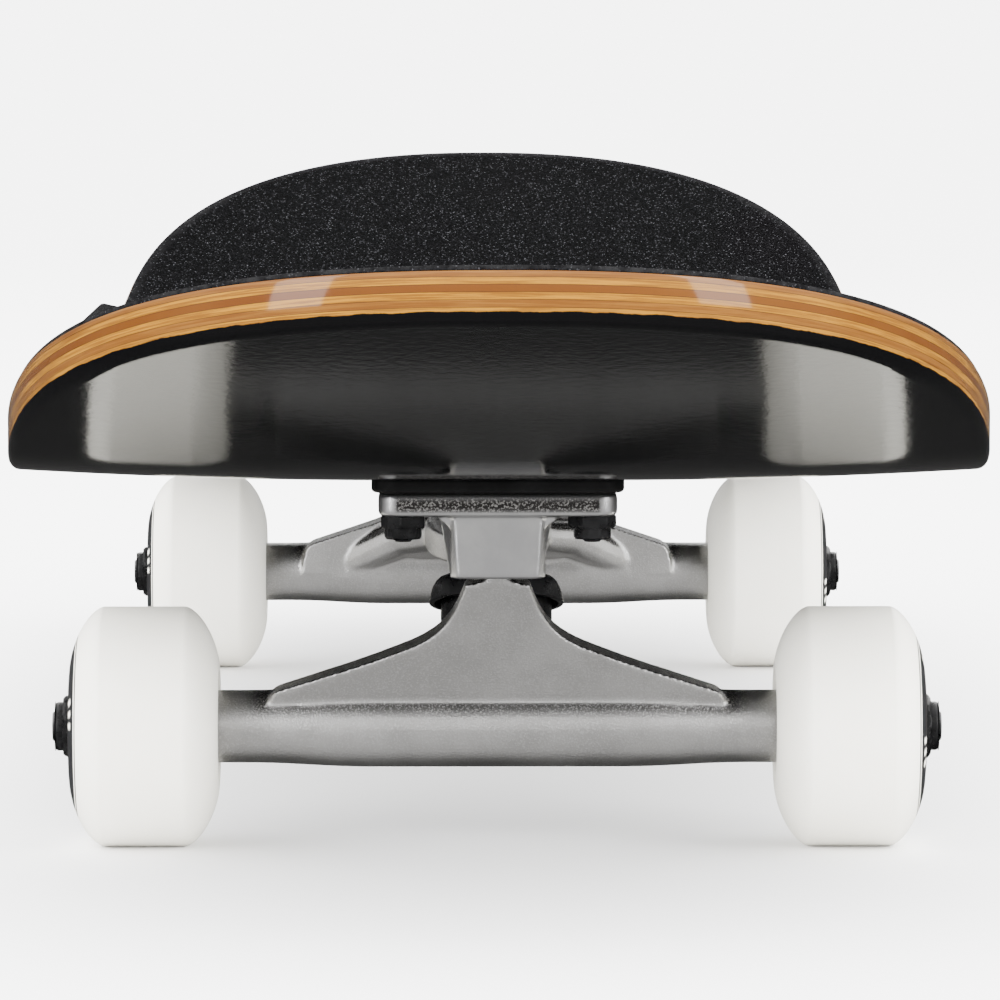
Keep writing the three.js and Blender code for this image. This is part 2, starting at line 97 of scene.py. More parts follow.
sky = bpy.data.worlds.new("studio")
sky.use_nodes = True
bpy.context.scene.world = sky
sky_tree = sky.node_tree
seen = link_node(sky_tree, "ShaderNodeLightPath")
bright = sky_tree.nodes["Background"]
bright.inputs["Color"].default_value = (1, 1, 1, 1)
bright.inputs["Strength"].default_value = SKY_STRENGTH
sky_way = link_node(sky_tree, "ShaderNodeTexCoord").outputs["Generated"]
way = link_node(sky_tree, "ShaderNodeSeparateXYZ", {0: sky_way})
from_front = link_node(sky_tree, "ShaderNodeMapRange", {
    "Value": way.outputs["Y"], "From Min": 0.25, "From Max": -0.35, "To Min": 0.10, "To Max": 0.75},
    interpolation_type="SMOOTHSTEP")
from_above = link_node(sky_tree, "ShaderNodeMapRange", {
    "Value": way.outputs["Z"], "From Min": 0.1, "From Max": 0.6, "To Min": 0.0, "To Max": 2.6},
    interpolation_type="SMOOTHSTEP")
mirrored_sky = link_node(sky_tree, "ShaderNodeMath", {
    0: from_front.outputs[0], 1: from_above.outputs[0]}, operation="ADD")
dim = link_node(sky_tree, "ShaderNodeBackground", {
    "Color": (1, 0.99, 0.97, 1), "Strength": mirrored_sky.outputs[0]})
sky_mix = link_node(sky_tree, "ShaderNodeMixShader", {
    0: seen.outputs["Is Glossy Ray"], 1: bright.outputs[0], 2: dim.outputs[0]})
sky_tree.links.new(sky_mix.outputs[0], sky_tree.nodes["World Output"].inputs["Surface"])


def soft_box(name, place, aim, width, height, watts):
    lamp = bpy.data.lights.new(name, "AREA")
    lamp.shape = "RECTANGLE"
    lamp.size = width
    lamp.size_y = height
    lamp.energy = watts
    box = bpy.data.objects.new(name, lamp)
    box.location = place
    box.rotation_euler = (Vector(aim) - Vector(place)).to_track_quat("-Z", "Y").to_euler()
    bpy.context.scene.collection.objects.link(box)


soft_box("overhead", (0.1, 0.2, 1.9), (0, 0, 0.05), 1.8, 2.4, 50)
soft_box("front_left", (-1.5, -2.0, 0.8), (0, -0.2, 0.05), 0.7, 1.6, 34)
soft_box("front_right", (1.6, -1.8, 0.9), (0, -0.2, 0.05), 0.7, 1.6, 34)
soft_box("behind", (0.4, 2.4, 1.3), (0, 0.2, 0.05), 1.8, 1.0, 20)

# ---- camera ----
# A long lens a little over a metre and a half in front of the tail axle, just above the board.
CAMERA_PLACE = Vector((-10.8, -1856.5, 191.0)) * MM
CAMERA_AIM = Vector((0.0070, 1.0, -0.0699))
SENSOR_WIDTH = 36.0
LENS = 267.3

camera_data = bpy.data.cameras.new("camera")
camera_data.sensor_width = SENSOR_WIDTH
camera_data.lens = LENS
camera_data.clip_end = 400
camera = bpy.data.objects.new("camera", camera_data)
camera.location = CAMERA_PLACE
camera.rotation_euler = CAMERA_AIM.to_track_quat("-Z", "Y").to_euler()
bpy.context.scene.collection.objects.link(camera)
bpy.context.scene.camera = camera

# ---- deck ----
# Seven sheets of maple pressed and glued in a mould that bends up both ends and the rails,
# cut to its outline, rounded over, clear lacquered on the edge and gloss black underneath.
deck_low, deck_high = (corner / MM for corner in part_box("deck"))


def middle_of(node):
    low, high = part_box(node)
    return (low + high) / 2 / MM


HALF_WIDTH = deck_high.x
HALF_LENGTH = deck_high.y
DECK_THICKNESS = 10.0
DECK_BOTTOM = deck_low.z
FLAT_HALF_WIDTH = HALF_WIDTH / 5
AXLE_Y = {"tail": middle_of("tail_axle").y, "nose": middle_of("nose_axle").y}
AXLE_Z = middle_of("tail_axle").z
WHEELBASE = AXLE_Y["nose"] - AXLE_Y["tail"]
MIDDLE_RISE = 10.5
AXLE_RISE = 2.5
FADE_LENGTH = 0.3 * WHEELBASE
KICK_ANGLE = math.radians(17.6)
ENDS = {
    -1: {"round_length": 149, "power": 2.5, "bend_start": 34, "bend_radius": 150, "angle": KICK_ANGLE},
    1: {"round_length": 165, "power": 2.35, "bend_start": 34, "bend_radius": 140, "angle": KICK_ANGLE},
}


def clamped(value):
    return max(0.0, min(1.0, value))


def centre_height(y):
    """Rise of the board's centre line above its level middle: an arc, then a straight kick."""
    end = ENDS[-1 if y < 0 else 1]
    beyond = (AXLE_Y["tail"] - y if y < 0 else y - AXLE_Y["nose"]) - end["bend_start"]
    arc = end["bend_radius"] * math.sin(end["angle"])
    if beyond <= 0:
        return 0.0
    if beyond < arc:
        return end["bend_radius"] - math.sqrt(end["bend_radius"] ** 2 - beyond ** 2)
    return end["bend_radius"] * (1 - math.cos(end["angle"])) + (beyond - arc) * math.tan(end["angle"])


def board_height(x, y):
    """Height of the board's underside over its lowest line: the kicks and the raised rails."""
    from_middle = abs(y - (AXLE_Y["tail"] + AXLE_Y["nose"]) / 2)
    fade = clamped((from_middle - FADE_LENGTH) / FADE_LENGTH)
    fade = fade * fade * (3 - 2 * fade)
    rise = MIDDLE_RISE + (AXLE_RISE - MIDDLE_RISE) * fade
    out = max(0.0, (abs(x) - FLAT_HALF_WIDTH) / (HALF_WIDTH - FLAT_HALF_WIDTH))
    return centre_height(y) + rise * out ** 2


def slope_stretch(y):
    """How much taller a sheet stands where the board slopes."""
    return math.hypot(1, (centre_height(y + 1) - centre_height(y - 1)) / 2)


def outline_place(column, row, inset):
    """A point of the square grid, each way from -1 to 1, moved to the board's outline."""
    y = row * HALF_LENGTH
    side = -1 if y < 0 else 1
    end = ENDS[side]
    start = HALF_LENGTH - end["round_length"]
    along = (abs(y) - start) / end["round_length"]
    if along <= 0:
        return column * (HALF_WIDTH - inset), y
    across = abs(column)
    spread = (across ** end["power"] + along ** end["power"]) ** (1 / end["power"])
    scale = max(across, along) / spread
    length = start + along * scale * (end["round_length"] - inset)
    return column * scale * (HALF_WIDTH - inset), side * length


def only(kind, parts):
    return [part for part in parts if isinstance(part, kind)]


def pressed_sheet(columns, rows, inset, bottom, top):
    """A slab between two heights above the deck's underside, bent to the kicks and the concave."""
    slab = bmesh.new()
    bmesh.ops.create_grid(slab, x_segments=columns, y_segments=rows, size=1)
    raised = bmesh.ops.extrude_face_region(slab, geom=slab.faces[:])["geom"]
    bmesh.ops.translate(slab, vec=(0, 0, 1), verts=only(bmesh.types.BMVert, raised))
    for vert in slab.verts:
        x, y = outline_place(vert.co.x, vert.co.y, inset)
        level = top if vert.co.z > 0.5 else bottom
        vert.co = (x, y, DECK_BOTTOM + board_height(x, y) + level * slope_stretch(y))
    bmesh.ops.recalc_face_normals(slab, faces=slab.faces[:])
    return slab


def rim_edges(slab, upward):
    """The edges where the slab's side wall meets its top or its underside."""
    found = []
    for edge in slab.edges:
        rises = [abs(face.normal.z) for face in edge.link_faces]
        outward = sum(face.normal.z for face in edge.link_faces)
        if min(rises) < 0.3 < max(rises) and outward * upward > 0.2:
            found.append(edge)
    return found


def round_over(shape, edges, radius, segments):
    bmesh.ops.bevel(shape, geom=edges, offset=radius, segments=segments, profile=0.5,
                    affect="EDGES", material=-1, clamp_overlap=True)


def finished(shape, name, finish, body, stands_for=(), crease=35, joined=1e-4):
    """Turns a shape in millimetres into a piece that rides on its body and stands for its CAD nodes."""
    bmesh.ops.remove_doubles(shape, verts=shape.verts[:], dist=joined)
    bmesh.ops.recalc_face_normals(shape, faces=shape.faces[:])
    bmesh.ops.scale(shape, vec=(MM, MM, MM), verts=shape.verts[:])
    mesh = bpy.data.meshes.new(name)
    shape.to_mesh(mesh)
    shape.free()
    mesh.shade_smooth()
    mesh.set_sharp_from_angle(angle=math.radians(crease))
    mesh.materials.append(finish)
    piece = bpy.data.objects.new(name, mesh)
    bpy.context.scene.collection.objects.link(piece)
    if body:
        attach(piece, body)
    if stands_for:
        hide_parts(*stands_for)
    return piece


def point_values(piece, name, value_of):
    """Stores a number at each point of a piece, worked out from its place in millimetres."""
    values = piece.data.attributes.new(name, "FLOAT", "POINT")
    values.data.foreach_set("value", [value_of(vert.co / MM) for vert in piece.data.vertices])


def calc(tree, operation, *terms, clamp=False):
    node = link_node(tree, "ShaderNodeMath", dict(enumerate(terms)), operation=operation, use_clamp=clamp)
    return node.outputs[0]


def times(tree, first, second):
    return calc(tree, "MULTIPLY", first, second)


def attribute(tree, name):
    return link_node(tree, "ShaderNodeAttribute", attribute_name=name).outputs["Fac"]


def blended(tree, share, first, second):
    """A colour between two, by a share from 0 to 1."""
    return link_node(tree, "ShaderNodeMix", {0: share, 6: first, 7: second}, data_type="RGBA").outputs[2]


def between(tree, value, low, high, out_low=0.0, out_high=1.0):
    """A smooth rise from one output to the other as the value passes from low to high."""
    return link_node(tree, "ShaderNodeMapRange", {
        "Value": value, "From Min": low, "From Max": high, "To Min": out_low, "To Max": out_high},
        interpolation_type="SMOOTHSTEP").outputs[0]


def new_group(name, inputs, outputs):
    """A node group with named inputs and outputs, each a name and its socket type."""
    group = bpy.data.node_groups.new(name, "ShaderNodeTree")
    for label, kind, value in inputs:
        socket = group.interface.new_socket(name=label, in_out="INPUT", socket_type=kind)
        socket.default_value = value
    for label, kind in outputs:
        group.interface.new_socket(name=label, in_out="OUTPUT", socket_type=kind)
    return group, group.nodes.new("NodeGroupInput"), group.nodes.new("NodeGroupOutput")


# Slow variation over a surface, spread between two values: used for gloss, dust and colour.
mottle, mottle_in, mottle_out = new_group("mottle", [
    ("Scale", "NodeSocketFloat", 60.0), ("Low", "NodeSocketFloat", 0.0), ("High", "NodeSocketFloat", 1.0)],
    [("Value", "NodeSocketFloat")])
mottle_noise = link_node(mottle, "ShaderNodeTexNoise", {
    "Vector": object_place(mottle), "Scale": mottle_in.outputs["Scale"], "Detail": 4.0, "Roughness": 0.6})
mottle.links.new(between(mottle, mottle_noise.outputs["Fac"], 0.3, 0.7,
                         mottle_in.outputs["Low"], mottle_in.outputs["High"]), mottle_out.inputs["Value"])

# A fine grain of two sizes, as a height and as a mask of its higher spots.
grain, grain_in, grain_out = new_group("grain", [("Scale", "NodeSocketFloat", 1500.0)],
                                       [("Height", "NodeSocketFloat"), ("Peaks", "NodeSocketFloat")])
grain_place = object_place(grain)
grain_coarse = link_node(grain, "ShaderNodeTexNoise", {
    "Vector": grain_place, "Scale": grain_in.outputs["Scale"], "Detail": 2.0, "Roughness": 0.7})
grain_cells = link_node(grain, "ShaderNodeTexVoronoi", {
    "Vector": grain_place, "Scale": times(grain, grain_in.outputs["Scale"], 0.8)})
grain_height = calc(grain, "SUBTRACT", grain_coarse.outputs["Fac"],
                    times(grain, grain_cells.outputs["Distance"], 0.35))
grain.links.new(grain_height, grain_out.inputs["Height"])
grain.links.new(between(grain, grain_height, 0.3, 0.5), grain_out.inputs["Peaks"])


def placed_group(tree, group, **values):
    node = tree.nodes.new("ShaderNodeGroup")
    node.node_tree = group
    for key, value in values.items():
        node.inputs[key].default_value = value
    return node.outputs


def mottled(tree, scale, low=0.0, high=1.0):
    return placed_group(tree, mottle, Scale=scale, Low=low, High=high)["Value"]


def grained(tree, scale):
    return placed_group(tree, grain, Scale=scale)


def bumped(tree, shader, height, distance, strength=1.0):
    bump = link_node(tree, "ShaderNodeBump", {"Height": height, "Distance": distance, "Strength": strength})
    tree.links.new(bump.outputs["Normal"], shader.inputs["Normal"])


def mottled_finish(name, scale, dark, light, roughness, grain_scale, grain_depth, strength, **shader_inputs):
    """A finish whose colour and gloss drift together between two values, over a fine grain."""
    finish, tree, shader = new_finish(name, **shader_inputs)
    tone = mottled(tree, scale)
    tree.links.new(blended(tree, tone, dark, light), shader.inputs["Base Color"])
    tree.links.new(between(tree, tone, 0, 1, *roughness), shader.inputs["Roughness"])
    bumped(tree, shader, grained(tree, grain_scale)["Height"], grain_depth, strength)
    return finish


PLY_COUNT = 7
BLACK_LINE = 2.05
BLACK_LACQUER = (0.0014, 0.0014, 0.0015, 1)
STREAKS_PER_METRE = 60.0
GOLDEN_PLY = (0.20, 0.088, 0.0025, 1)
AMBER_PLY = (0.055, 0.015, 0.0007, 1)
TAN_PLY = (0.105, 0.042, 0.005, 1)
GLUE_LINE = (0.010, 0.003, 0.001, 1)

deck_finish, deck_tree, deck_shader = new_finish(
    "lacquered_maple", Coat_IOR=1.35, Coat_Roughness=0.07, IOR=1.2, Specular_IOR_Level=0.2)
ply_height = attribute(deck_tree, "ply_height")
ply_step = times(deck_tree, ply_height, PLY_COUNT / DECK_THICKNESS)
ply_number = calc(deck_tree, "FLOOR", ply_step)
ply_share = calc(deck_tree, "FRACT", ply_step)
ply_odd = calc(deck_tree, "MODULO", ply_number, 2.0)
is_tan = calc(deck_tree, "COMPARE", calc(deck_tree, "MODULO", ply_number, 4.0), 2.0, 0.5)
deck_axes = link_node(deck_tree, "ShaderNodeSeparateXYZ", {0: object_place(deck_tree)})
streak_place = link_node(deck_tree, "ShaderNodeCombineXYZ", {
    "X": times(deck_tree, deck_axes.outputs["X"], STREAKS_PER_METRE),
    "Y": times(deck_tree, deck_axes.outputs["Y"], STREAKS_PER_METRE),
    "Z": times(deck_tree, ply_height, 2.4)})
streaks = link_node(deck_tree, "ShaderNodeTexNoise", {
    "Vector": streak_place.outputs[0], "Scale": 1.0, "Detail": 6.0, "Roughness": 0.65}).outputs["Fac"]
patches = mottled(deck_tree, 14.0)
ply_tone = blended(deck_tree, is_tan, AMBER_PLY, TAN_PLY)
ply_tone = blended(deck_tree, ply_odd, ply_tone, GOLDEN_PLY)
ply_tone = blended(deck_tree, between(deck_tree, streaks, 0.36, 0.62, 0.0, 0.75), ply_tone, AMBER_PLY)
ply_tone = blended(deck_tree, times(deck_tree, patches, 0.3), ply_tone, TAN_PLY)
glue_near = calc(deck_tree, "ABSOLUTE", calc(deck_tree, "SUBTRACT", ply_share, 0.5))
glue_mask = between(deck_tree, glue_near, 0.43, 0.495)
ply_tone = blended(deck_tree, times(deck_tree, glue_mask, 0.8), ply_tone, GLUE_LINE)
paint_edge = calc(deck_tree, "ADD", ply_height, mottled(deck_tree, 160.0, -0.15, 0.15))
is_wood = between(deck_tree, paint_edge, BLACK_LINE - 0.12, BLACK_LINE + 0.12)
deck_tree.links.new(blended(deck_tree, is_wood, BLACK_LACQUER, ply_tone), deck_shader.inputs["Base Color"])
deck_tree.links.new(between(deck_tree, is_wood, 0, 1, 0.10, 0.45), deck_shader.inputs["Roughness"])
deck_tree.links.new(is_wood, deck_shader.inputs["Coat Weight"])
bumped(deck_tree, deck_shader, mottled(deck_tree, 420.0), 0.000025, 0.35)

deck_shape = pressed_sheet(72, 250, 0, 0, DECK_THICKNESS)
round_over(deck_shape, rim_edges(deck_shape, -1), 2.2, 4)
round_over(deck_shape, rim_edges(deck_shape, 1), 0.9, 2)
deck = finished(deck_shape, "pressed_deck", deck_finish, "deck", ["deck"])
point_values(deck, "ply_height", lambda place: (place.z - DECK_BOTTOM - board_height(place.x, place.y))
             / slope_stretch(place.y))

# ---- griptape ----
# Coarse black silicon carbide grit glued to a film, stuck over the whole top of the deck,
# trimmed at the edge with a knife and filed there, which leaves its rim grey.
GRIP_TOP = DECK_THICKNESS + 1.0
GRIP_INSET = 0.8

grip_finish, grip_tree, grip_shader = new_finish("grit", IOR=1.3, Specular_IOR_Level=0.02)
grit_grain = grained(grip_tree, 1700.0)
grit_cells = link_node(grip_tree, "ShaderNodeTexVoronoi", {
    "Vector": object_place(grip_tree), "Scale": 3600.0})
glint = link_node(grip_tree, "ShaderNodeSeparateColor", {0: grit_cells.outputs["Color"]}).outputs[0]
# Painted glints: a few grit cells get a lighter base colour and a lower roughness, standing in for sparkle.
painted_glint = between(grip_tree, glint, 0.955, 1.0)
grit_tone = blended(grip_tree, grit_grain["Peaks"],
                    (0.0003, 0.0003, 0.0004, 1), (0.0030, 0.0030, 0.0036, 1))
grit_tone = blended(grip_tree, painted_glint, grit_tone, (0.045, 0.045, 0.05, 1))
worn = times(grip_tree, attribute(grip_tree, "rim"), mottled(grip_tree, 300.0, 0.2, 1.0))
grit_tone = blended(grip_tree, worn, grit_tone, (0.012, 0.012, 0.0125, 1))
grip_tree.links.new(grit_tone, grip_shader.inputs["Base Color"])
grip_tree.links.new(between(grip_tree, painted_glint, 0, 1, 0.85, 0.4), grip_shader.inputs["Roughness"])
grit_height = calc(grip_tree, "ADD", grit_grain["Height"], times(grip_tree, glint, 0.5))
bumped(grip_tree, grip_shader, grit_height, 0.00025, 0.9)

grip_shape = pressed_sheet(60, 220, GRIP_INSET, DECK_THICKNESS + 0.05, GRIP_TOP)
round_over(grip_shape, rim_edges(grip_shape, 1), 0.4, 2)
grip = finished(grip_shape, "grip_sheet", grip_finish, "deck", ["griptape"])


def rim_share(place):
    """1 at the griptape's cut edge, falling to 0 a millimetre and a half inside it."""
    end = ENDS[-1 if place.y < 0 else 1]
    along = max(0.0, (abs(place.y) - HALF_LENGTH + end["round_length"]) / end["round_length"])
    spread = (abs(place.x / HALF_WIDTH) ** end["power"] + along ** end["power"]) ** (1 / end["power"])
    return clamped((spread * HALF_WIDTH - HALF_WIDTH + 2 * GRIP_INSET) / GRIP_INSET)


point_values(grip, "rim", rim_share)

# ---- riser pads ----
# Soft black rubber pads moulded a little larger than the baseplates, between them and the deck.
TRUCKS = {
    "tail": Matrix.Translation((0, AXLE_Y["tail"], AXLE_Z)),
    "nose": Matrix.Translation((0, AXLE_Y["nose"], AXLE_Z)) @ Matrix.Rotation(math.pi, 4, "Z"),
}
PLATE_TOP = 53.6
PLATE_MIDDLE = 8.0
RISER_THICKNESS = 3.5


def moved(shape, matrix):
    bmesh.ops.transform(shape, matrix=matrix, verts=shape.verts[:])
    return shape


def rounded_block(width, length, low, high, corner, rim):
    """A block centred on Z with rounded upright edges and softer edges round its top and bottom."""
    block = bmesh.new()
    bmesh.ops.create_cube(block, size=1)
    size = Matrix.Diagonal((width, length, high - low, 1))
    moved(block, Matrix.Translation((0, 0, (low + high) / 2)) @ size)
    upright = [edge for edge in block.edges if edge.verts[0].co.xy == edge.verts[1].co.xy]
    round_over(block, upright, corner, 10)
    flat = [face for face in block.faces if abs(face.normal.z) > 0.9]
    round_over(block, list({edge for face in flat for edge in face.edges}), rim, 4)
    return block


rubber_finish = mottled_finish(
    "black_rubber", 220.0, (0.0012, 0.0012, 0.0013, 1), (0.0025, 0.0025, 0.0027, 1),
    (0.42, 0.6), 1900.0, 0.00004, 0.5, IOR=1.5, Specular_IOR_Level=0.12)

for end, truck in TRUCKS.items():
    pad = rounded_block(55, 80, PLATE_TOP + 0.1, PLATE_TOP + RISER_THICKNESS - 0.1, 6, 0.9)
    moved(pad, truck @ Matrix.Translation((0, PLATE_MIDDLE, 0)))
    finished(pad, end + "_rubber_riser", rubber_finish, "deck", [end + "_riser_pad"])

# ---- baseplates ----
# Gravity-cast aluminium plates with a housing for the pivot cup and a boss for the kingpin,
# sand-rough on the upright sides and tumbled bright along the edges and corners.
KINGPIN = Matrix.Translation((0, 22, 12)) @ Matrix.Rotation(math.radians(-15), 4, "X")
PIVOT_DROP = math.atan2(30, 44)
PIVOT = Matrix.Translation((0, -22, 42)) @ Matrix.Rotation(math.pi / 2 - PIVOT_DROP, 4, "X")
PLATE_BOTTOM = PLATE_TOP - 5.0
HOUSING_BOTTOM = 34.8
BOLT_ROWS = (-19.0, 34.98)
BOLT_ACROSS = 20.65


def rounded_outline(points, steps=6):
    """Points of an outline, where a third number rounds that corner from so far along each side."""
    path = []
    for index, point in enumerate(points):
        corner = Vector(point[:2])
        if len(point) == 2:
            path.append(corner)
            continue
        start = corner + (Vector(points[index - 1][:2]) - corner).normalized() * point[2]
        end = corner + (Vector(points[(index + 1) % len(points)][:2]) - corner).normalized() * point[2]
        for step in range(steps + 1):
            share = step / steps
            bend = corner * 2 * share * (1 - share)
            path.append(start * (1 - share) ** 2 + bend + end * share ** 2)
    return path


def turned(outline, steps=96):
    """An outline of (radius, height) turned once round Z; one that ends on Z stays open there."""
    shape = bmesh.new()
    verts = [shape.verts.new((radius, 0, height)) for radius, height in rounded_outline(outline)]
    on_axis = verts[0].co.x == 0 and verts[-1].co.x == 0
    edges = [shape.edges.new(pair) for pair in zip(verts, verts[1:])]
    if not on_axis:
        edges.append(shape.edges.new((verts[-1], verts[0])))
    bmesh.ops.spin(shape, geom=verts + edges, cent=(0, 0, 0), axis=(0, 0, 1), angle=2 * math.pi,
                   steps=steps, use_merge=True, use_duplicate=False)
    bmesh.ops.remove_doubles(shape, verts=shape.verts[:], dist=1e-4)
    bmesh.ops.recalc_face_normals(shape, faces=shape.faces[:])
    return shape


def prism(outline, low, high, along="X"):
    """An outline made solid along X, from points (y, z), or along Y, from points (x, z)."""
    shape = bmesh.new()
    if along == "X":
        corners = [shape.verts.new((low, y, z)) for y, z in rounded_outline(outline)]
        step = Vector((high - low, 0, 0))
    else:
        corners = [shape.verts.new((x, low, z)) for x, z in rounded_outline(outline)]
        step = Vector((0, high - low, 0))
    face = shape.faces.new(corners)
    grown = bmesh.ops.extrude_face_region(shape, geom=[face])["geom"]
    bmesh.ops.translate(shape, vec=step, verts=only(bmesh.types.BMVert, grown))
    bmesh.ops.recalc_face_normals(shape, faces=shape.faces[:])
    return shape


def sliced(shape, place, outward):
    """Cuts away what lies outward of a plane and closes the cut."""
    cut = bmesh.ops.bisect_plane(shape, geom=shape.verts[:] + shape.edges[:] + shape.faces[:],
                                 plane_co=place, plane_no=outward, clear_outer=True)
    bmesh.ops.holes_fill(shape, edges=only(bmesh.types.BMEdge, cut["geom_cut"]), sides=0)


def added(whole, *parts):
    """Parts copied into one shape, left overlapping."""
    for part in parts:
        carrier = bpy.data.meshes.new("carrier")
        bmesh.ops.recalc_face_normals(part, faces=part.faces[:])
        part.to_mesh(carrier)
        part.free()
        whole.from_mesh(carrier)
        bpy.data.meshes.remove(carrier)
    return whole


def hull_of_balls(*balls):
    """The skin stretched round balls of (x, y, z, radius)."""
    shape = bmesh.new()
    for x, y, z, radius in balls:
        bmesh.ops.create_icosphere(shape, subdivisions=2, radius=radius,
                                   matrix=Matrix.Translation((x, y, z)))
    hull = bmesh.ops.convex_hull(shape, input=shape.verts[:])
    inside = set(only(bmesh.types.BMVert, hull["geom_interior"] + hull["geom_unused"]))
    bmesh.ops.delete(shape, geom=list(inside), context="VERTS")
    return shape


def cast(name, whole, cutter, grid, passes):
    """Melts overlapping closed parts into one skin, cuts it, and softens its edges like a casting's."""
    carriers = []
    for label, shape in ((name, whole), (name + "_cutter", cutter)):
        mesh = bpy.data.meshes.new(label)
        shape.to_mesh(mesh)
        shape.free()
        carriers.append(bpy.data.objects.new(label, mesh))
        bpy.context.scene.collection.objects.link(carriers[-1])
    body, tool = carriers
    melt = tool.modifiers.new("melt", "REMESH")
    melt.voxel_size = grid
    for label in ("melt", "remelt"):
        melt = body.modifiers.new(label, "REMESH")
        melt.voxel_size = grid
        if label == "melt":
            cut = body.modifiers.new("cut", "BOOLEAN")
            cut.operation = "DIFFERENCE"
            cut.solver = "MANIFOLD"
            cut.object = tool
    soften = body.modifiers.new("soften", "SMOOTH")
    soften.iterations = passes
    done = bmesh.new()
    done.from_mesh(body.evaluated_get(bpy.context.evaluated_depsgraph_get()).to_mesh())
    bpy.data.objects.remove(body)
    bpy.data.objects.remove(tool)
    return done


def rod(radius, low, high):
    return [(0, low), (radius, low), (radius, high), (0, high)]


def bolt_bores(radius, low, high):
    bores = bmesh.new()
    for along in BOLT_ROWS:
        for across in (-BOLT_ACROSS, BOLT_ACROSS):
            added(bores, moved(turned(rod(radius, low, high), 32), Matrix.Translation((across, along, 0))))
    return bores


def pin_outline(radius, end, dome_centre=-6.05, steps=10):
    """A round bar along the pivot pin with a ball end at its tip."""
    angles = [step / steps * math.pi / 2 for step in range(steps)]
    dome = [(radius * math.cos(angle), dome_centre + radius * math.sin(angle)) for angle in angles]
    return [(0, end), (radius, end), *dome, (0, dome_centre + radius)]


plate_finish, plate_tree, plate_shader = new_finish("cast_plate", Metallic=1.0)
sand_share = attribute(plate_tree, "dark_rough_share")
plate_grain = grained(plate_tree, 2300.0)
plate_tone = blended(plate_tree, mottled(plate_tree, 90.0), (0.50, 0.50, 0.51, 1), (0.60, 0.60, 0.60, 1))
sand_tone = blended(plate_tree, plate_grain["Peaks"], (0.035, 0.033, 0.032, 1), (0.40, 0.39, 0.38, 1))
plate_tone = blended(plate_tree, sand_share, plate_tone, sand_tone)
plate_tree.links.new(plate_tone, plate_shader.inputs["Base Color"])
plate_tree.links.new(between(plate_tree, sand_share, 0, 1, 0.30, 0.5), plate_shader.inputs["Roughness"])
plate_depth = between(plate_tree, sand_share, 0, 1, 0.25, 1.0)
bumped(plate_tree, plate_shader, times(plate_tree, plate_grain["Height"], plate_depth), 0.00022, 0.7)

PLATE_WIDTH = 52
PLATE_LENGTH = 77
plate_parts = rounded_block(PLATE_WIDTH, PLATE_LENGTH, PLATE_BOTTOM, PLATE_TOP, 4, 0.8)
moved(plate_parts, Matrix.Translation((0, PLATE_MIDDLE, 0)))
housing_side = [(-28, PLATE_TOP - 2), (-28, HOUSING_BOTTOM, 1.0), (-19, HOUSING_BOTTOM, 3), (-8.5, 44, 5),
                (-1, PLATE_BOTTOM + 1), (-1, PLATE_TOP - 2)]
housing = prism(housing_side, -10.4, 10.4)
for side in (-1, 1):
    sliced(housing, (side * 9.0, -28, 40), (side * 1.0, -0.75, -0.06))
flare_front = [(-13.5, PLATE_BOTTOM + 1), (-13.5, PLATE_BOTTOM - 0.4), (-9.6, PLATE_BOTTOM - 3.4),
               (9.6, PLATE_BOTTOM - 3.4), (13.5, PLATE_BOTTOM - 0.4), (13.5, PLATE_BOTTOM + 1)]
flare = prism(flare_front, -26.6, -8, "Y")
boss = moved(turned([(0, 20.3), (10.5, 20.3, 1.2), (13.5, 39), (0, 39)]), KINGPIN)
rib = prism([(-12, PLATE_TOP - 1), (-6, 45.5, 4), (20, 45.5, 4), (30, 39, 4), (30, PLATE_TOP - 1)], -3, 3)
added(plate_parts, housing, flare, boss, rib)
plate_cutter = bolt_bores(2.7, 30, 70)
added(plate_cutter, moved(turned(pin_outline(7.9, -40)), PIVOT),
      moved(turned(rod(5.05, 10, 39.6), 48), KINGPIN))
cast_baseplate = cast("baseplate", plate_parts, plate_cutter, 0.45, 4)


def sanded(place, normal):
    """1 on the plate's upright sides away from its corners and edges."""
    level = min(place.z - PLATE_BOTTOM - 0.6, PLATE_TOP - 0.1 - place.z)
    past_sides = (abs(place.x) - 22.6, abs(place.y - PLATE_MIDDLE) - 35.0)
    upright = 1.0 - min(1.0, abs(normal.z) * 2.2)
    if place.z < PLATE_BOTTOM or max(past_sides) < 0:
        return 0.0
    return clamped(level / 0.5) * upright * clamped(-min(past_sides) / 0.8)


def with_dark_rough(casting, share_at):
    """A copy of a casting that says at each point how much darker and rougher it is made there."""
    copy = casting.copy()
    copy.normal_update()
    layer = copy.verts.layers.float.new("dark_rough_share")
    for vert in copy.verts:
        vert[layer] = share_at(vert.co, vert.normal)
    return copy


for end, truck in TRUCKS.items():
    plate = moved(with_dark_rough(cast_baseplate, sanded), truck)
    finished(plate, end + "_cast_baseplate", plate_finish, "deck", [end + "_baseplate"],
             crease=60)
cast_baseplate.free()

# ---- pivot cups ----
# Black urethane thimbles, moulded with a rounded end and pressed into the housings.
# The hangers' pins turn in them.
urethane_finish = mottled_finish(
    "black_urethane", 150.0, (0.0012, 0.0012, 0.0013, 1), (0.0028, 0.0028, 0.003, 1),
    (0.22, 0.36), 900.0, 0.00003, 0.3, IOR=1.5, Specular_IOR_Level=0.3)

for end, truck in TRUCKS.items():
    inside = pin_outline(6.6, -8)[:0:-1]
    cup = moved(turned([*pin_outline(7.6, -8)[1:], *inside]), PIVOT)
    sliced(cup, (0, 0, HOUSING_BOTTOM + 0.3), (0, 0, -1))
    finished(moved(cup, truck), end + "_urethane_pivot_cup", urethane_finish, "deck",
             [end + "_pivot_cup"])

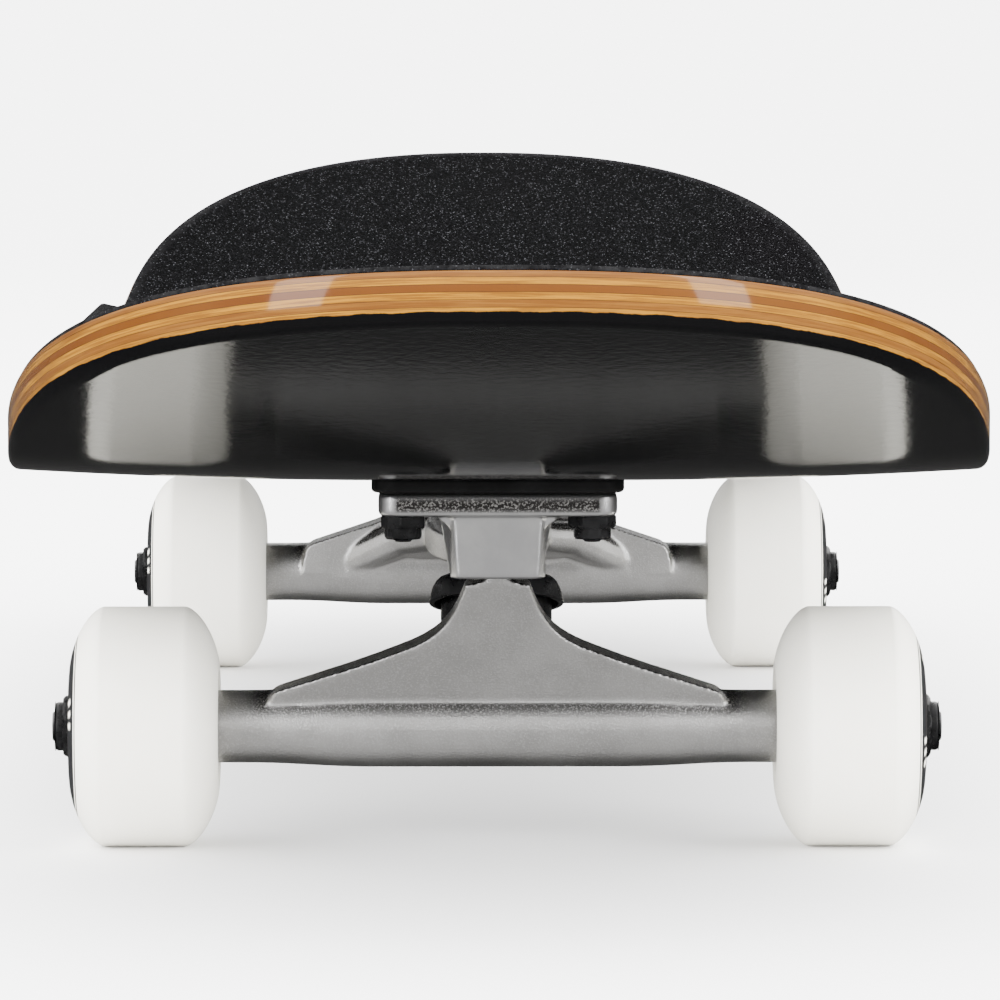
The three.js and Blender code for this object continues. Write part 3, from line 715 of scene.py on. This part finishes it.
# ---- hangers ----
# One aluminium casting each: a tapered tube over the axle, a leaning web that narrows upwards to the
# pivot pin, and two arms that arch back to the ring gripped between the bushings. Tumbled satin.
WEB_TOP = 34.4
WEB_ROOF_SLOPE = 0.19
FACE_WAY = Vector((0, -0.875, -0.485)).normalized()

hanger_finish, hanger_tree, hanger_shader = new_finish("cast_hanger", Metallic=1.0)
hanger_grain = grained(hanger_tree, 2400.0)
shade_and_coarse_share = attribute(hanger_tree, "dark_rough_share")
hanger_tone = blended(hanger_tree, mottled(hanger_tree, 70.0),
                      (0.44, 0.435, 0.43, 1), (0.54, 0.535, 0.53, 1))
hanger_tone = blended(hanger_tree, times(hanger_tree, hanger_grain["Peaks"], 0.6), hanger_tone,
                      (0.62, 0.62, 0.62, 1))
# Painted shade: the tube's top and the web's up-facing faces are darkened towards near black, over a coarser
# grain.
shade_and_coarse_tone = blended(hanger_tree, hanger_grain["Peaks"],
                      (0.05, 0.048, 0.046, 1), (0.36, 0.355, 0.35, 1))
hanger_tone = blended(hanger_tree, shade_and_coarse_share, hanger_tone, shade_and_coarse_tone)
hanger_tree.links.new(hanger_tone, hanger_shader.inputs["Base Color"])
hanger_tree.links.new(mottled(hanger_tree, 55.0, 0.30, 0.42), hanger_shader.inputs["Roughness"])
hanger_depth = between(hanger_tree, shade_and_coarse_share, 0, 1, 0.6, 1.0)
bumped(hanger_tree, hanger_shader, times(hanger_tree, hanger_grain["Height"], hanger_depth), 0.00026, 0.6)

ALONG_X = Matrix.Rotation(math.pi / 2, 4, "Y")
TUBE_END = 64.2


def mirrored(half):
    """Points of (radius, length, rounding) from both ends of a bar, given those of one end."""
    return [*[(radius, -length, *rounding) for radius, length, *rounding in reversed(half)], *half]


tube_half = [(9.0, 33, 6), (8.05, 50, 6), (8.05, TUBE_END, 0.7)]
tube = moved(turned([(0, -TUBE_END), *mirrored(tube_half), (0, TUBE_END)]), ALONG_X)
web_half = [(51, 4), (50, 8, 2), (27, 15.4, 9), (11.2, 21.8, 8), (6.3, 35)]
other_half = [(-x, *rest) for x, *rest in reversed(web_half)]
web_front = [(0, 0), (51, 0), *web_half, (6.3, 37), (-6.3, 37), *other_half, (-51, 0)]
web = prism(web_front, -40, 8.5, "Y")
sliced(web, (0, -4.3, 2), FACE_WAY)
for slope in (WEB_ROOF_SLOPE, -WEB_ROOF_SLOPE):
    sliced(web, (0, 0, WEB_TOP), (slope, 0, 1))
sliced(web, (0, -9, WEB_TOP), (0, 0.62, 0.78))
bmesh.ops.recalc_face_normals(web, faces=web.faces[:])


def rims_face(edge):
    """Whether an edge runs round the web's front face, above the tube."""
    turns = [face.normal.dot(FACE_WAY) for face in edge.link_faces]
    height = (edge.verts[0].co.z + edge.verts[1].co.z) / 2
    return len(turns) == 2 and max(turns) > 0.99 and min(turns) < 0.9 and height > 8


round_over(web, [edge for edge in web.edges if rims_face(edge)], 1.3, 2)
hanger_parts = added(bmesh.new(), tube, web, moved(turned(pin_outline(6.2, -26)), PIVOT),
                     moved(turned([(0, -4), (17, -4, 1), (17, 4, 1), (0, 4)]), KINGPIN))
for side in (-1, 1):
    added(hanger_parts,
          hull_of_balls((side * 42, 2, 1, 4.5), (side * 24, 12, 10, 5.0), (side * 20, 0, 9, 5)),
          hull_of_balls((side * 24, 12, 10, 5.0), (side * 13, 19.5, 11.5, 4.3), (side * 9, 4, 9, 6)))
hanger_cutter = added(
    bmesh.new(),
    moved(turned(rod(8, -9, 9)), KINGPIN),
    moved(turned([(0, 4), (13.6, 4), (14.6, 11), (17, 12), (17, 40), (0, 40)]), KINGPIN),
    moved(turned([(0, -40), (12.6, -40), (12.6, -14), (13.2, -4), (0, -4)]), KINGPIN),
    moved(turned(rod(4.3, -90, 90), 48), ALONG_X))
cast_hanger = cast("hanger", hanger_parts, hanger_cutter, 0.5, 5)


def painted_shade_and_coarse(place, normal):
    """1 on the web's sloping back and narrow top edge and on the tube's top: painted shade where these faces
    turn up, over a coarser grain.
    """
    if place.yz.length < 9.6:
        return 0.85 * clamped((normal.z - 0.28) / 0.3) * clamped((56 - abs(place.x)) / 4)
    return clamped((normal.z - 0.35) / 0.2) * clamped((abs(place.x) + place.z - 26) / 6)


for end, truck in TRUCKS.items():
    hanger = moved(with_dark_rough(cast_hanger, painted_shade_and_coarse), truck)
    finished(hanger, end + "_cast_hanger", hanger_finish, end + "_hanger",
             [end + "_hanger"], crease=60)
cast_hanger.free()

# ---- axles ----
# Steel bars cast into the hangers, turned down and dark chromed, with a rolled thread
# at each end for the axle nut.
AXLE_RADIUS = 4.0
AXLE_END = 98.3
THREAD_START = 91.0

dark_finish, dark_tree, dark_shader = new_finish("dark_chrome", Metallic=1.0)
dark_tone = blended(dark_tree, mottled(dark_tree, 120.0), (0.10, 0.10, 0.105, 1), (0.17, 0.17, 0.175, 1))
dark_tree.links.new(dark_tone, dark_shader.inputs["Base Color"])
dark_tree.links.new(mottled(dark_tree, 300.0, 0.16, 0.30), dark_shader.inputs["Roughness"])
bumped(dark_tree, dark_shader, grained(dark_tree, 1200.0)["Height"], 0.00002, 0.3)


def threaded(radius, start, finish, pitch, depth=0.45):
    """Outline points of a thread's ridges between two heights."""
    step = pitch / 2 if finish > start else -pitch / 2
    turns = int(abs(finish - start) / (pitch / 2))
    return [(radius - depth * (turn % 2), start + turn * step) for turn in range(turns)]


half_axle = [(AXLE_RADIUS, THREAD_START), *threaded(AXLE_RADIUS, THREAD_START, AXLE_END - 0.8, 1.0),
             (AXLE_RADIUS - 0.3, AXLE_END - 0.8), (AXLE_RADIUS - 1.0, AXLE_END)]
axle_outline = [(0, -AXLE_END), *mirrored(half_axle), (0, AXLE_END)]
for end, truck in TRUCKS.items():
    axle = moved(turned(axle_outline, 64), truck @ ALONG_X)
    finished(axle, end + "_threaded_axle", dark_finish, end + "_hanger", [end + "_axle"])

# ---- kingpin and its nut and washers ----
# A black oxide bolt up through the ring into the baseplate, with a cupped washer above the
# bushings, a flat one below and a nut with a nylon locking collar.
KINGPIN_RADIUS = 4.75
KINGPIN_BORE = KINGPIN_RADIUS + 0.2

oxide_finish = mottled_finish(
    "black_oxide", 260.0, (0.003, 0.003, 0.0032, 1), (0.009, 0.009, 0.0095, 1),
    (0.24, 0.38), 1600.0, 0.00003, 0.4, Metallic=0.3, IOR=1.4, Specular_IOR_Level=0.25)


def hexed(shape, flats, low, high, chamfer=0.7):
    """Pulls a turned shape's widest part in to a hexagon, with the corners cut back at both ends."""
    corner = flats / math.sqrt(3)
    for vert in shape.verts:
        radius = vert.co.xy.length
        if radius < flats / 2 - 0.05 or not low - 1e-3 <= vert.co.z <= high + 1e-3:
            continue
        turn = math.atan2(vert.co.y, vert.co.x)
        across = (turn % (math.pi / 3)) - math.pi / 6
        reach = min(flats / 2 / math.cos(across), corner - 0.12)
        near_end = min(vert.co.z - low, high - vert.co.z)
        reach = min(reach, flats / 2 - 0.1 + (corner - flats / 2 + 0.1) * near_end / chamfer)
        vert.co.xy = vert.co.xy * (reach / radius)
    return shape


def lock_nut(flats, hex_height, height, collar, bore):
    """A hexagon standing on z 0 and running down to a rounded collar that holds the nylon ring."""
    rows = [(flats, -hex_height * step / 12) for step in range(13)]
    outline = [(bore, 0), *rows, (collar, -hex_height - 0.05), (collar, -height, 0.9),
               (bore + 0.9, -height, 0.5), (bore + 0.7, -height + 0.9, 0.2), (bore, -height + 1.1)]
    return hexed(turned(outline), flats, -hex_height, 0)


CUP_WASHER = [(KINGPIN_BORE, 18.7), (11.4, 18.6, 1), (13.1, 17, 1), (14, 13.4), (15.2, 13.4, 0.5),
              (14.4, 17.6, 2), (12.6, 19.4, 1.5), (9, 20, 1), (KINGPIN_BORE, 20)]
FLAT_WASHER = [(KINGPIN_BORE, -13.7), (9.2, -13.7, 0.3), (9.2, -12.4, 0.3), (KINGPIN_BORE, -12.4)]
KINGPIN_OUTLINE = [(0, -22.4), (KINGPIN_RADIUS - 0.9, -22.4), (KINGPIN_RADIUS - 0.3, -21.8),
                   *threaded(KINGPIN_RADIUS, -21.6, -12, 1.0), (KINGPIN_RADIUS, -12), (KINGPIN_RADIUS, 39.4),
                   (0, 39.4)]
NUT_PLACE = Matrix.Translation((0, 0, -13.9)) @ Matrix.Rotation(math.pi / 6, 4, "Z")
for end, truck in TRUCKS.items():
    for name, shape in (("kingpin", turned(KINGPIN_OUTLINE, 64)), ("cup_washer", turned(CUP_WASHER)),
                        ("flat_washer", turned(FLAT_WASHER)),
                        ("kingpin_nut", moved(lock_nut(14.3, 5.6, 8.2, 6.4, KINGPIN_BORE), NUT_PLACE))):
        finished(moved(shape, truck @ KINGPIN), f"{end}_steel_{name}", oxide_finish, "deck",
                 [f"{end}_{name}"])

# ---- bushings ----
# Poured black urethane: a barrel above the ring and a shorter cone below it. Each is gripped
# by the ring at one end and by its washer at the other, and squeezes between them as the board leans.
BUSHINGS = {
    "boardside": [(KINGPIN_BORE, 4.2), (11.7, 4.2, 0.7), (12.5, 8, 3), (12.5, 15, 3), (11.2, 18.3, 1),
                  (KINGPIN_BORE, 18.3)],
    "roadside": [(KINGPIN_BORE, -12.2), (9.6, -12.2, 0.7), (12, -4.9, 1), (11.4, -4.2),
                 (KINGPIN_BORE, -4.2)],
}
for end, truck in TRUCKS.items():
    for name, outline in BUSHINGS.items():
        bushing = moved(turned(outline), truck @ KINGPIN)
        piece = finished(bushing, f"{end}_poured_{name}_bushing", urethane_finish, None,
                         [f"{end}_{name}_bushing"])
        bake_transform(piece)

# ---- mounting bolts and lock nuts ----
# Eight black flat-headed bolts with hexagonal sockets, their heads a hair proud of the grit,
# down through deck, riser and plate to lock nuts with rounded, notched collars.
HEAD_TOP = DECK_BOTTOM + DECK_THICKNESS + 1.25
BOLT_TIP = AXLE_Z + PLATE_BOTTOM - 6.2
SOCKET_FLATS = 4.0
BOLT_RADIUS = 2.4
BOLT_OUTLINE = [(0, BOLT_TIP), (1.7, BOLT_TIP), (2.1, BOLT_TIP + 0.5),
                *threaded(BOLT_RADIUS, BOLT_TIP + 0.7, BOLT_TIP + 9, 0.8, 0.3),
                (BOLT_RADIUS, BOLT_TIP + 9), (BOLT_RADIUS, HEAD_TOP - 3.3), (4.7, HEAD_TOP - 0.7, 0.2),
                (4.7, HEAD_TOP - 0.1, 0.2), (4.4, HEAD_TOP), (2.25, HEAD_TOP), (2.2, HEAD_TOP - 0.15),
                (2.2, HEAD_TOP - 2.0), (0, HEAD_TOP - 2.2)]


def socketed(shape):
    """Pulls the walls of the turned recess in to a hexagon."""
    for vert in shape.verts:
        radius = vert.co.xy.length
        if 2.1 < radius < 2.3 and vert.co.z > HEAD_TOP - 2.1:
            across = (math.atan2(vert.co.y, vert.co.x) % (math.pi / 3)) - math.pi / 6
            vert.co.xy = vert.co.xy * (SOCKET_FLATS / 2 / math.cos(across) / radius)
    return shape


def notched(shape, low, high, count=6):
    """Presses shallow notches round a lock nut's collar."""
    for vert in shape.verts:
        radius = vert.co.xy.length
        if vert.co.z < low or vert.co.z > high or radius < 3.3:
            continue
        wave = max(0.0, math.cos(count * math.atan2(vert.co.y, vert.co.x))) ** 3
        vert.co.xy = vert.co.xy * (1 - 0.05 * wave)
    return shape


for end, truck in TRUCKS.items():
    for row, along in zip(("outer", "inner"), BOLT_ROWS):
        for side, across in (("left", -1), ("right", 1)):
            place = truck @ Vector((0, along, 0))
            spot = Matrix.Translation((across * BOLT_ACROSS, place.y, 0))
            name = f"{end}_{row}_{side}"
            twist = Matrix.Rotation(0.35 * across + 0.01 * along, 4, "Z")
            bolt = moved(socketed(turned(BOLT_OUTLINE, 48)), spot @ twist)
            finished(bolt, name + "_socket_bolt", oxide_finish, "deck", [name + "_bolt"])
            nut = notched(lock_nut(9.5, 3.1, 5.5, 4.1, 2.45), -5.4, -4.0)
            moved(nut, spot @ Matrix.Translation((0, 0, AXLE_Z + PLATE_BOTTOM - 0.1)) @ twist)
            finished(nut, name + "_nylon_lock_nut", oxide_finish, "deck", [name + "_lock_nut"])

# ---- wheels ----
# Poured cream-white urethane, lathe-cut across the tread, with the sides curving in to a flat
# face that carries a black printed ring with a fine cream line and plain ticks.
WHEEL_RADIUS = 26.5
WHEEL_HALF = 16.5
TREAD_HALF = 8.9
WHEEL_X = 77.9
SHOULDER_POWER = 1.62
BEARING_SEAT = 11.1
SEAT_FACE = 12.9

wheel_finish, wheel_tree, wheel_shader = new_finish(
    "cream_urethane", IOR=1.5, Coat_IOR=1.5, Coat_Roughness=0.25)
from_axle = attribute(wheel_tree, "from_axle")


def ring(inner, outer, soft):
    """A mask of the ring between two radii, with its edges softened by so much each way."""
    return times(wheel_tree, between(wheel_tree, from_axle, inner - soft, inner + soft),
                 between(wheel_tree, from_axle, outer + soft, outer - soft))


cream_tone = blended(wheel_tree, mottled(wheel_tree, 40.0), (0.87, 0.845, 0.755, 1), (0.91, 0.885, 0.80, 1))
ticks = times(wheel_tree, ring(15.35, 17.55, 0.05), attribute(wheel_tree, "ticks"))
cream_share = calc(wheel_tree, "MAXIMUM", ring(19.425, 19.875, 0.075), ticks)
black_share = calc(wheel_tree, "SUBTRACT", ring(12.0, 20.5, 0.1), cream_share, clamp=True)
printed = times(wheel_tree, black_share, attribute(wheel_tree, "outside"))
wheel_tone = blended(wheel_tree, printed, cream_tone, (0.008, 0.008, 0.009, 1))
wheel_tree.links.new(wheel_tone, wheel_shader.inputs["Base Color"])
wheel_tree.links.new(between(wheel_tree, printed, 0, 1, 0.42, 0.30), wheel_shader.inputs["Roughness"])
wheel_shader.inputs["Coat Weight"].default_value = 0.25
lathe_place = link_node(wheel_tree, "ShaderNodeSeparateXYZ", {0: object_place(wheel_tree)})
lathe_lines = link_node(wheel_tree, "ShaderNodeTexNoise", {
    "W": times(wheel_tree, lathe_place.outputs["X"], 3200.0), "Scale": 1.0, "Detail": 1.0},
    noise_dimensions="1D")
on_tread = between(wheel_tree, from_axle, WHEEL_RADIUS - 3.5, WHEEL_RADIUS - 0.6)
lathe_height = calc(wheel_tree, "ADD", times(wheel_tree, lathe_lines.outputs["Fac"], on_tread),
                    times(wheel_tree, grained(wheel_tree, 1100.0)["Height"], 0.25))
bumped(wheel_tree, wheel_shader, lathe_height, 0.00004, 0.5)


def wheel_half(steps=22):
    """The section of one side, from the tread's edge in to the bearing seat."""
    inner = 13.2
    side = []
    for step in range(steps + 1):
        angle = step / steps * math.pi / 2
        side.append((inner + (WHEEL_RADIUS - inner) * math.cos(angle) ** (2 / SHOULDER_POWER),
                     TREAD_HALF + (WHEEL_HALF - TREAD_HALF) * math.sin(angle) ** (2 / SHOULDER_POWER)))
    return [*side, (12.2, WHEEL_HALF - 0.1), (BEARING_SEAT + 0.3, WHEEL_HALF - 0.8),
            (BEARING_SEAT, WHEEL_HALF - 1.4), (BEARING_SEAT, SEAT_FACE - 7.3), (9, SEAT_FACE - 7.3)]


WHEEL_STEPS = 160
TICK_COLUMNS = (2, 3, 6, 7, 10, 11)
CORNERS = [(end, side, outward) for end in TRUCKS for side, outward in (("left", -1), ("right", 1))]
for end, side, outward in CORNERS:
    half = wheel_half()
    wheel = turned([*half, *[(radius, -across) for radius, across in reversed(half)]], WHEEL_STEPS)
    layers = [wheel.verts.layers.float.new(name) for name in ("from_axle", "outside", "ticks")]
    for vert in wheel.verts:
        column = round(math.atan2(vert.co.y, vert.co.x) / (2 * math.pi) * WHEEL_STEPS) % (WHEEL_STEPS // 4)
        values = (vert.co.xy.length, float(vert.co.z > 12), float(column in TICK_COLUMNS))
        for layer, value in zip(layers, values):
            vert[layer] = value
    turn = Matrix.Rotation(outward * math.pi / 2, 4, "Y")
    moved(wheel, Matrix.Translation((outward * WHEEL_X, AXLE_Y[end], AXLE_Z)) @ turn)
    finished(wheel, f"{end}_{side}_poured_wheel", wheel_finish, f"{end}_{side}_wheel",
             [f"{end}_{side}_wheel"])

# ---- bearings ----
# Standard ball bearings for an eight-millimetre axle, two to a wheel: ground steel races
# with a dark pressed shield set in between.
steel_finish, steel_tree, steel_shader = new_finish("ground_steel", Metallic=1.0)
steel_tone = blended(steel_tree, mottled(steel_tree, 180.0), (0.50, 0.50, 0.51, 1), (0.62, 0.62, 0.62, 1))
steel_tree.links.new(steel_tone, steel_shader.inputs["Base Color"])
steel_tree.links.new(mottled(steel_tree, 260.0, 0.14, 0.26), steel_shader.inputs["Roughness"])
bumped(steel_tree, steel_shader, grained(steel_tree, 1500.0)["Height"], 0.00001, 0.3)

OUTER_RACE = [(9.3, -3.5), (11.0, -3.5, 0.35), (11.0, 3.5, 0.35), (9.3, 3.5, 0.2)]
INNER_RACE = [(4.15, -3.5, 0.3), (6.0, -3.5, 0.2), (6.0, 3.5, 0.2), (4.15, 3.5, 0.3)]
SHIELD = [(6.05, -3.05), (6.5, -3.2, 0.2), (8.8, -3.2, 0.2), (9.25, -3.05),
          (9.25, 3.05), (8.8, 3.2, 0.2), (6.5, 3.2, 0.2), (6.05, 3.05)]
RACES = {
    "outer_race": (steel_finish, "steel", OUTER_RACE),
    "inner_race": (steel_finish, "steel", INNER_RACE),
    "shield": (rubber_finish, "black_plastic", SHIELD),
}
for end, side, outward in CORNERS:
    for seat, sign in (("inner", -1), ("outer", 1)):
        middle = outward * (WHEEL_X + sign * 9.2)
        place = Matrix.Translation((middle, AXLE_Y[end], AXLE_Z)) @ ALONG_X
        for part, (finish, slot, outline) in RACES.items():
            stands_for = [f"{end}_{side}_{seat}_bearing"] if part == "outer_race" else []
            finished(moved(turned(outline), place), f"{end}_{side}_{seat}_bearing_{part}", finish,
                     f"{end}_{side}_wheel", stands_for)

# ---- speed washers and axle nuts ----
# Thin punched zinc washers each side of every wheel, and black forged nuts with nylon
# collars facing out that hold the wheels on.
WASHER = [(4.15, -0.4, 0.15), (6.4, -0.4, 0.2), (6.4, 0.4, 0.2), (4.15, 0.4, 0.15)]
COLLAR_OUT = Matrix.Rotation(math.pi, 4, "X") @ Matrix.Rotation(0.26, 4, "Z")
for end, side, outward in CORNERS:
    turn = Matrix.Rotation(outward * math.pi / 2, 4, "Y")
    facing = Matrix.Translation((0, AXLE_Y[end], AXLE_Z)) @ turn
    for name, middle in (("speed_washer", 91.25), ("inner_speed_washer", 64.75)):
        washer = moved(turned(WASHER), facing @ Matrix.Translation((0, 0, middle)))
        stands_for = [f"{end}_{side}_speed_washer"] if name == "speed_washer" else []
        finished(washer, f"{end}_{side}_zinc_{name}", steel_finish, f"{end}_hanger", stands_for)
    nut = lock_nut(12.7, 4.1, 5.9, 5.4, 4.1)
    moved(nut, facing @ Matrix.Translation((0, 0, 91.8)) @ COLLAR_OUT)
    finished(nut, f"{end}_{side}_nylon_axle_nut", oxide_finish, f"{end}_hanger",
             [f"{end}_{side}_axle_nut"])
